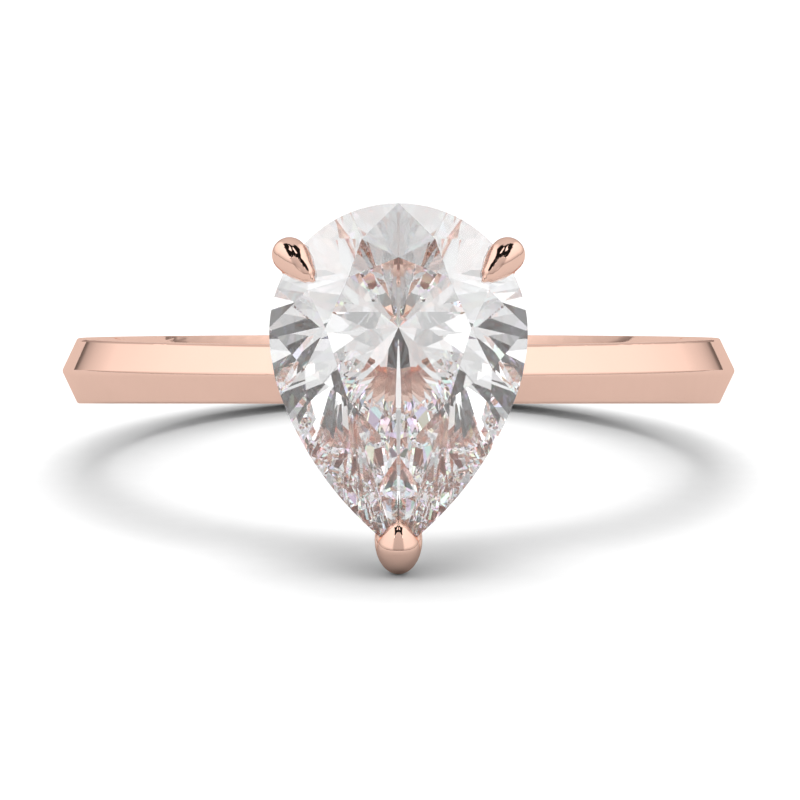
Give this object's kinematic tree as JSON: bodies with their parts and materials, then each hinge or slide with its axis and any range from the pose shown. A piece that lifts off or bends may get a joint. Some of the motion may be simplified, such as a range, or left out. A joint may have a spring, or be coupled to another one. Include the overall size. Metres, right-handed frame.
{
  "type": "solitaire engagement ring",
  "caption": "Rose gold solitaire ring with a knife-edge band and a pear-shaped brilliant held in a claw basket.",
  "frame": {"origin": "centre of the finger hole, at the middle of the band's width", "axes": "+Z along the finger hole towards the round end of the pear, -Y the way the table of the stone faces, +X to the right of a viewer who faces the table"},
  "size_m": [0.0206, 0.0251, 0.0111],
  "materials": {
    "rose_gold": "mirror polished rose gold",
    "diamond": "faceted, colourless, polished"
  },
  "bodies": {
    "root": {"shank": "rose_gold", "head_peg": "rose_gold", "lower_gallery_rail": "rose_gold", "upper_gallery_rail": "rose_gold", "prong_left": "rose_gold", "prong_right": "rose_gold", "prong_tip": "rose_gold", "pear_diamond": "diamond"}
  },
  "joints": []
}
